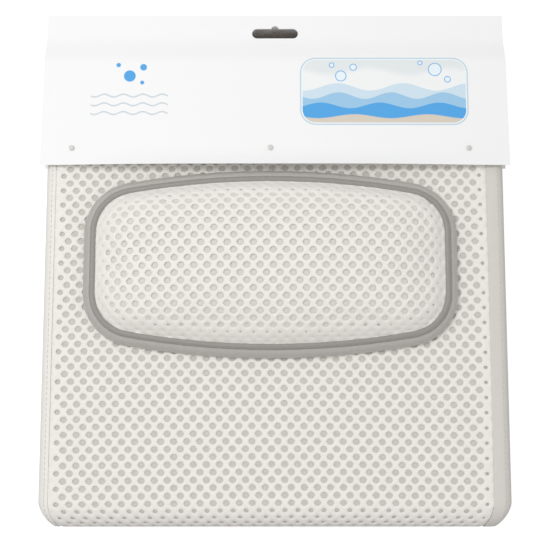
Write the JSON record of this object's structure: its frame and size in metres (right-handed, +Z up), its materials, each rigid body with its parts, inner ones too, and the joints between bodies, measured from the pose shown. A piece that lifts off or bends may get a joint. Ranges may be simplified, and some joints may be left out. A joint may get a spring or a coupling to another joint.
{
  "type": "full body bath cushion",
  "caption": "Padded mesh bath mat with a sewn-on pillow and suction cups below, folded up under a hang card. It opens out flat, and its head end leans up.",
  "frame": {"origin": "on the surface that the folded pack lies on, under the middle of its bounding box", "axes": "+Z up, out of the pillow; +Y from the lower fold toward the hang card; +X to the reader's right with the card at the top"},
  "size_m": [0.404, 0.4502, 0.1111],
  "materials": {
    "face_mesh": "matte knitted polyester spacer mesh, off-white",
    "spacer": "matte monofilament spacer pad, off-white",
    "back_mesh": "matte knitted polyester mesh, off-white",
    "edge_tape": "smooth woven polyester tape, off-white, stitched",
    "cup": "glossy clear soft PVC",
    "base_cloth": "matte woven polyester",
    "fibre": "loose white polyester fibre",
    "pillow_mesh": "matte knitted polyester mesh, off-white",
    "satin_band": "grey satin",
    "piping": "darker grey satin",
    "card": "white printed board, satin coated",
    "tag_pin": "translucent nylon"
  },
  "bodies": {
    "foot_panel": {"foot_face_mesh": "face_mesh", "foot_spacer_core": "spacer", "foot_back_mesh": "back_mesh", "foot_edge_tape": "edge_tape", "foot_suction_cup_1": "cup", "foot_suction_cup_2": "cup", "foot_suction_cup_3": "cup", "foot_suction_cup_4": "cup", "foot_suction_cup_5": "cup", "foot_suction_cup_6": "cup"},
    "foot_fold_lower_bend": {"foot_fold_lower_half": "face_mesh"},
    "foot_fold_upper_bend": {"foot_fold_upper_half": "face_mesh"},
    "middle_panel": {"middle_face_mesh": "face_mesh", "middle_spacer_core": "spacer", "middle_back_mesh": "back_mesh", "middle_edge_tape_right": "edge_tape", "middle_edge_tape_left": "edge_tape", "middle_suction_cup_1": "cup", "middle_suction_cup_2": "cup", "middle_suction_cup_3": "cup", "middle_suction_cup_4": "cup", "middle_suction_cup_5": "cup", "middle_suction_cup_6": "cup"},
    "head_fold_lower_bend": {"head_fold_lower_half": "face_mesh"},
    "head_fold_upper_bend": {"head_fold_upper_half": "face_mesh"},
    "head_panel": {"head_face_mesh": "face_mesh", "head_spacer_core": "spacer", "head_back_mesh": "back_mesh", "head_edge_tape": "edge_tape", "head_suction_cup_1": "cup", "head_suction_cup_2": "cup", "head_suction_cup_3": "cup", "head_suction_cup_4": "cup", "head_suction_cup_5": "cup", "head_suction_cup_6": "cup", "pillow_base_cloth": "base_cloth", "pillow_fibre_filling": "fibre", "pillow_mesh_cover": "pillow_mesh", "pillow_edge_band": "satin_band", "pillow_piping": "piping", "hang_card": "card", "tag_pin_1": "tag_pin", "tag_pin_2": "tag_pin", "tag_pin_3": "tag_pin"}
  },
  "joints": [
    {"name": "foot_fold", "type": "hinge", "parent": "foot_panel", "child": "middle_panel", "pos_m": [0, 0.16507, 0.02615], "axis": [-1, 0, 0], "range_deg": [0, 180]},
    {"name": "foot_fold_lower_turn", "type": "hinge", "parent": "foot_panel", "child": "foot_fold_lower_bend", "pos_m": [0, 0.16507, 0.02615], "axis": [-1, 0, 0], "range_deg": [0, 90], "deforming": ["foot_fold_lower_half"]},
    {"name": "foot_fold_upper_turn", "type": "hinge", "parent": "middle_panel", "child": "foot_fold_upper_bend", "pos_m": [0, 0.16507, 0.02615], "axis": [1, 0, 0], "range_deg": [0, 90], "deforming": ["foot_fold_upper_half"]},
    {"name": "head_fold", "type": "hinge", "parent": "middle_panel", "child": "head_panel", "pos_m": [0, -0.20292, 0.04845], "axis": [1, 0, 0], "range_deg": [0, 240]},
    {"name": "head_fold_lower_turn", "type": "hinge", "parent": "middle_panel", "child": "head_fold_lower_bend", "pos_m": [0, -0.20292, 0.04845], "axis": [1, 0, 0], "range_deg": [0, 120], "deforming": ["head_fold_lower_half"]},
    {"name": "head_fold_upper_turn", "type": "hinge", "parent": "head_panel", "child": "head_fold_upper_bend", "pos_m": [0, -0.20292, 0.04845], "axis": [-1, 0, 0], "range_deg": [0, 120], "deforming": ["head_fold_upper_half"]}
  ],
  "couplings": [
    {"joint": "foot_fold_lower_turn", "follows": "foot_fold", "ratio": 0.5},
    {"joint": "foot_fold_upper_turn", "follows": "foot_fold", "ratio": 0.5},
    {"joint": "head_fold_lower_turn", "follows": "head_fold", "ratio": 0.5},
    {"joint": "head_fold_upper_turn", "follows": "head_fold", "ratio": 0.5}
  ]
}
